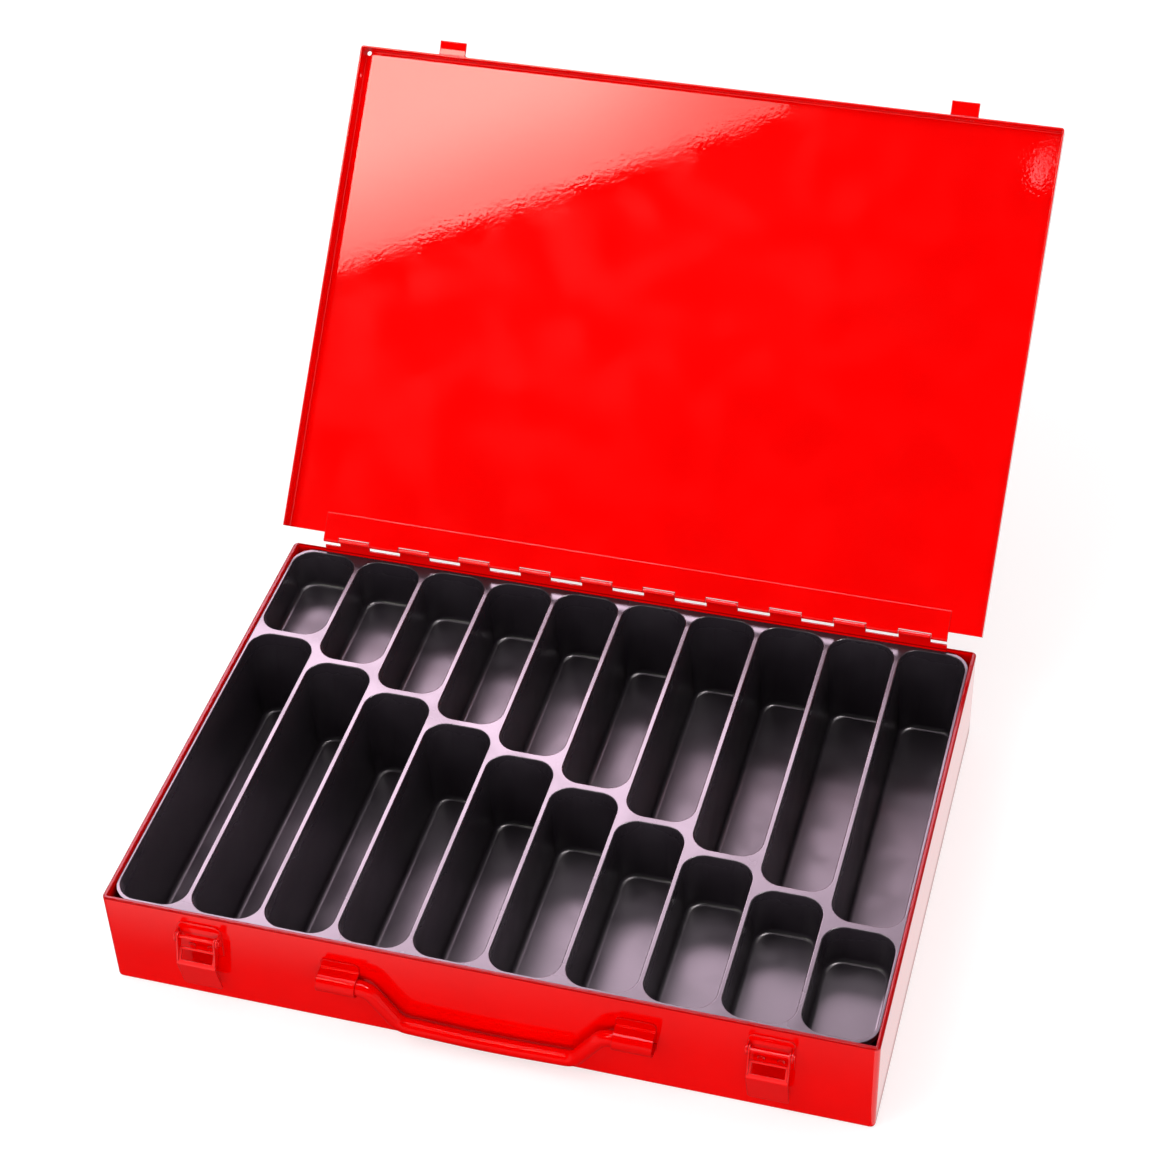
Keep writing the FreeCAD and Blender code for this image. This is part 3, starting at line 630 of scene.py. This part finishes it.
def flat_sheet(
    name: str, width: float, height: float, finish: bpy.types.Material
) -> bpy.types.Object:
    """Lay a flat rectangle with its middle on the frame's origin.

    Args:
        name: Name of the rectangle.
        width: Its length along X.
        height: Its length along Y.
        finish: Its material.

    Returns:
        The rectangle, which faces +Z.
    """
    x, y = width / 2, height / 2
    mesh = bpy.data.meshes.new(name)
    corners = [(-x, -y, 0.0), (x, -y, 0.0), (x, y, 0.0), (-x, y, 0.0)]
    mesh.from_pydata(corners, [], [(0, 1, 2, 3)])
    mesh.materials.append(finish)
    sheet = bpy.data.objects.new(name, mesh)
    bpy.context.scene.collection.objects.link(sheet)
    return sheet


@dataclass(frozen=True)
class Softbox:
    """Flat lamp with a bright face that falls off towards its rim.

    Args:
        name: Name of the lamp.
        aim: Point that it faces.
        azimuth: Where it stands: 0 is in front of the box, 90 to its right.
        elevation: Height of it over the aim, as an angle.
        size: Width and height of its face.
        radiance: Brightness of the face's middle, where 1 is white.
        distance: How far it stands from the aim.
        shift: Move across and up in its own plane.
        turn: Turn of the face in its own plane.
        lights: What the face is there for.
        tint: Colour of its light.
        rim: Part of the half size over which the face falls off.
        rim_light: Share of the brightness left at the rim.
    """

    name: str
    aim: Point
    azimuth: float
    elevation: float
    size: tuple[float, float]
    radiance: float
    distance: float = 2.4
    shift: tuple[float, float] = (0.0, 0.0)
    turn: float = 0.0
    lights: Lights = Lights.MIRRORED
    tint: Colour = WHITE
    rim: float = 0.3
    rim_light: float = 0.5

    def place(self) -> Matrix:
        """Work out where the lamp stands.

        Returns:
            Its place, with its face along its own +Z.
        """
        out = heading(self.azimuth, self.elevation)
        right = Vector((0.0, 0.0, 1.0)).cross(out).normalized()
        over = out.cross(right)
        centre = Vector(self.aim) + out * self.distance
        centre += right * self.shift[0] + over * self.shift[1]
        spin = math.radians(self.turn)
        side = right * math.cos(spin) + over * math.sin(spin)
        face = -out
        turned = Matrix((side, face.cross(side), face)).transposed().to_4x4()
        return Matrix.Translation(centre) @ turned

    def face(self) -> bpy.types.Material:
        """Make the lamp's bright face, dark on its back.

        Returns:
            The face's material.
        """
        shader = Shader(self.name + "_face")
        spot = shader.split(shader.add("TexCoord").outputs["Generated"])
        across, along = (
            shader.ramp(
                shader.calculate("PINGPONG", spot[axis], 0.5), 0.0, self.rim / 2, self.rim_light
            )
            for axis in "XY"
        )
        share = shader.calculate("MULTIPLY", across, along)
        back = shader.add("NewGeometry").outputs["Backfacing"]
        front = shader.calculate("SUBTRACT", 1.0, back)
        lit = shader.calculate("MULTIPLY", share, front)
        strength = shader.calculate("MULTIPLY", lit, self.radiance)
        shader.show(shader.light("Emission", strength, self.tint))
        return shader.material

    def build(self) -> None:
        """Stand the lamp in the studio."""
        lamp = flat_sheet(self.name, *self.size, self.face())
        lamp.matrix_world = self.place()
        lamp.visible_camera = False
        lamp.visible_diffuse = self.lights is Lights.DIFFUSE
        lamp.visible_glossy = self.lights is Lights.MIRRORED
        log.info("%s stands %.2f m away", self.name, self.distance)


@dataclass(frozen=True)
class Floor:
    """Pale floor, with a glow that only the camera and glossy pieces see.

    Args:
        size: Length of its sides.
        colour: Its colour.
        dark: Its colour as glossy pieces see it.
        glow: Glow that the camera sees.
        side_glow: Glow that the box's right wall mirrors.
        side_start: X at which that glow starts.
        side_full: X from which it is full.
        front_glow: Glow that the box's front wall mirrors.
        front_start: Y at which that glow starts.
        front_full: Y up to which it is full.
        left_start: X from which only a share of the front's glow is left.
        left_full: X up to which all of it is there.
        left_share: That share.
    """

    size: float = 8.0
    colour: Colour = (0.50, 0.50, 0.50)
    dark: Colour = (0.10, 0.10, 0.10)
    glow: float = 0.62
    side_glow: float = 0.98
    side_start: float = 0.2195
    side_full: float = 0.2215
    front_glow: float = 1.0
    front_start: float = -0.175
    front_full: float = -0.245
    left_start: float = 0.10
    left_full: float = -0.22
    left_share: float = 0.28

    def mirrored(self, shader: Shader) -> Output:
        """Work out the glow that glossy pieces see at each point of the floor.

        Args:
            shader: Shader that the nodes go into.

        Returns:
            Strength of the glow.
        """
        spot = shader.split(shader.place())
        beside = shader.ramp(spot["X"], self.side_start, self.side_full, 0.0, self.side_glow)
        before = shader.ramp(spot["Y"], self.front_full, self.front_start, self.front_glow, 0.0)
        left = shader.ramp(spot["X"], self.left_full, self.left_start, 1.0, self.left_share)
        return shader.calculate("MULTIPLY_ADD", before, left, beside)

    def finish(self) -> bpy.types.Material:
        """Mix the floor's finish.

        Returns:
            Its material.
        """
        shader = Shader("pale_floor")
        path = shader.add("LightPath").outputs
        matt = shader.add("BsdfDiffuse")
        tone = shader.blend(path["Is Glossy Ray"], self.colour, self.dark)
        shader.join(tone, matt, "Color")
        seen = shader.calculate("MULTIPLY", path["Is Camera Ray"], self.glow)
        glow = shader.calculate(
            "MULTIPLY_ADD", path["Is Glossy Ray"], self.mirrored(shader), seen
        )
        both = shader.add("AddShader")
        shader.join(matt.outputs["BSDF"], both, 0)
        shader.join(shader.light("Emission", glow), both, 1)
        shader.show(both.outputs["Shader"])
        return shader.material

    def build(self) -> None:
        """Lay the floor under the box."""
        floor = flat_sheet("floor", self.size, self.size, self.finish())


@dataclass(frozen=True)
class Surroundings:
    """What is far round the box: white at the horizon, a dim ceiling, plain fill.

    Args:
        horizon: Brightness at the horizon, where 1 is white.
        ceiling: Brightness overhead.
        fill: Brightness from everywhere, as matt surfaces get it.
        horizon_top: Height of the direction up to which the horizon reaches.
        ceiling_start: Height of the direction from which the ceiling does.
    """

    horizon: float = 1.0
    ceiling: float = 0.015
    fill: float = 0.85
    horizon_top: float = 0.25
    ceiling_start: float = 0.5

    def build(self) -> None:
        """Put the surroundings into the scene's world."""
        world = bpy.data.worlds.new("studio")
        bpy.context.scene.world = world
        world.use_nodes = True
        nodes = Nodes(world.node_tree)
        height = nodes.split(nodes.add("TexCoord").outputs["Generated"])["Z"]
        seen = nodes.ramp(
            height, self.horizon_top, self.ceiling_start, self.horizon, self.ceiling
        )
        choose = nodes.add("Mix", data_type="FLOAT")
        choose.inputs["B"].default_value = self.fill
        nodes.join(nodes.add("LightPath").outputs["Is Diffuse Ray"], choose, "Factor")
        nodes.join(seen, choose, "A")
        shown = nodes.light("Background", choose.outputs["Result"])
        nodes.join(shown, nodes.add("OutputWorld"), "Surface")


@dataclass(frozen=True)
class Studio:
    """Floor, surroundings and lamps round the box.

    Args:
        lid_centre: Middle of the open lid's inside.
        tray_centre: Middle of the insert's top.
        front_centre: Middle of the base's front wall.
    """

    lid_centre: Point = (0.0, 0.260, 0.195)
    tray_centre: Point = (0.0, 0.0, 0.065)
    front_centre: Point = (0.0, -0.157, 0.03)

    def lid_lamps(self) -> tuple[Softbox, ...]:
        """Plan the lamps that stand to the open lid's front left.

        Returns:
            The key, whose edge crosses the lid, the wash that lights matt
            surfaces from its side, and the small lamp of the lid's glint.
        """
        key = Softbox(
            name="key_softbox",
            aim=self.lid_centre,
            azimuth=-20.4,
            elevation=41.9,
            distance=2.2,
            shift=(-0.404, 0.459),
            size=(0.94, 0.51),
            turn=42.6,
            radiance=10.5,
            tint=(1.0, 1.0, 0.86),
            rim=0.7,
        )
        wash = replace(
            key,
            name="key_wash",
            size=(1.2, 1.2),
            radiance=8.0,
            lights=Lights.DIFFUSE,
            tint=WHITE,
        )
        glint = Softbox(
            name="glint_lamp",
            aim=self.lid_centre,
            azimuth=-20.4,
            elevation=41.9,
            distance=2.2,
            shift=(0.486, 0.654),
            size=(0.02, 0.05),
            radiance=3.0,
        )
        return key, wash, glint

    def tray_lamps(self) -> tuple[Softbox, ...]:
        """Plan the lamps that the insert's webs and the pockets' floors mirror.

        Returns:
            The lamps behind, over and to the right of the box.
        """
        back = Softbox(
            name="back_softbox",
            aim=self.tray_centre,
            azimuth=-154.0,
            elevation=43.5,
            size=(2.8, 1.15),
            radiance=22.0,
            tint=(1.0, 0.74, 0.93),
            rim=0.8,
            rim_light=0.1,
        )
        overhead = Softbox(
            name="overhead_softbox",
            aim=self.tray_centre,
            azimuth=-165.0,
            elevation=76.0,
            size=(1.7, 1.4),
            radiance=15.0,
            tint=(1.0, 0.85, 0.97),
            rim=0.8,
            rim_light=0.2,
        )
        corner = Softbox(
            name="corner_lamp",
            aim=self.tray_centre,
            azimuth=95.0,
            elevation=66.0,
            size=(0.55, 0.55),
            radiance=70.0,
            tint=(1.0, 0.93, 0.95),
            rim=0.5,
        )
        return back, overhead, corner

    def front_lamp(self) -> Softbox:
        """Plan the wash in front of the box.

        Returns:
            The lamp that lights the front wall.
        """
        return Softbox(
            name="front_wash",
            aim=self.front_centre,
            azimuth=10.0,
            elevation=10.0,
            size=(2.0, 0.7),
            radiance=5.4,
            lights=Lights.DIFFUSE,
        )

    def build(self) -> None:
        """Build the floor, the surroundings and the lamps."""
        Floor().build()
        Surroundings().build()
        for lamp in (*self.lid_lamps(), *self.tray_lamps(), self.front_lamp()):
            lamp.build()


@dataclass(frozen=True)
class PhotoCamera:
    """Camera at the photograph's place.

    Args:
        aim: Point in the middle of the picture.
        azimuth: Where it stands: 0 is in front of the box, 90 to its right.
        elevation: Height of it over the aim, as an angle.
        distance: How far it stands from the aim.
        roll: Turn of the picture about its middle.
        photo_pixels: Width of the photograph, in pixels.
        focal_pixels: Focal length in the photograph's pixels.
        sensor: Width of the sensor, in millimetres.
    """

    aim: Point = (-0.0023, 0.0751, 0.1463)
    azimuth: float = 16.93
    elevation: float = 41.41
    distance: float = 1.55
    roll: float = -2.19
    photo_pixels: float = 1168.0
    focal_pixels: float = 2660.0
    sensor: float = 36.0

    def build(self) -> None:
        """Stand the camera and make it the scene's own."""
        out = heading(self.azimuth, self.elevation)
        lens = bpy.data.cameras.new("photo_camera")
        lens.sensor_width = self.sensor
        lens.lens = self.focal_pixels / self.photo_pixels * self.sensor
        camera = bpy.data.objects.new("photo_camera", lens)
        place = Matrix.Translation(Vector(self.aim) + out * self.distance)
        turned = out.to_track_quat("Z", "Y").to_matrix().to_4x4()
        spin = Matrix.Rotation(math.radians(self.roll), 4, "Z")
        camera.matrix_world = place @ turned @ spin
        bpy.context.scene.collection.objects.link(camera)
        bpy.context.scene.camera = camera


def main() -> None:
    """Build the camera, the finishes, the sub-assemblies and the studio."""
    logging.basicConfig(level=logging.INFO, format="%(name)s: %(message)s")
    bpy.context.scene.view_settings.view_transform = "Standard"
    PhotoCamera().build()
    finishes = Finishes()
    finishes.build()
    for assembly in (Base(finishes), Lid(finishes), FrontFittings(finishes)):
        assembly.dress()
    Studio().build()


if __name__ == "__main__":
    main()
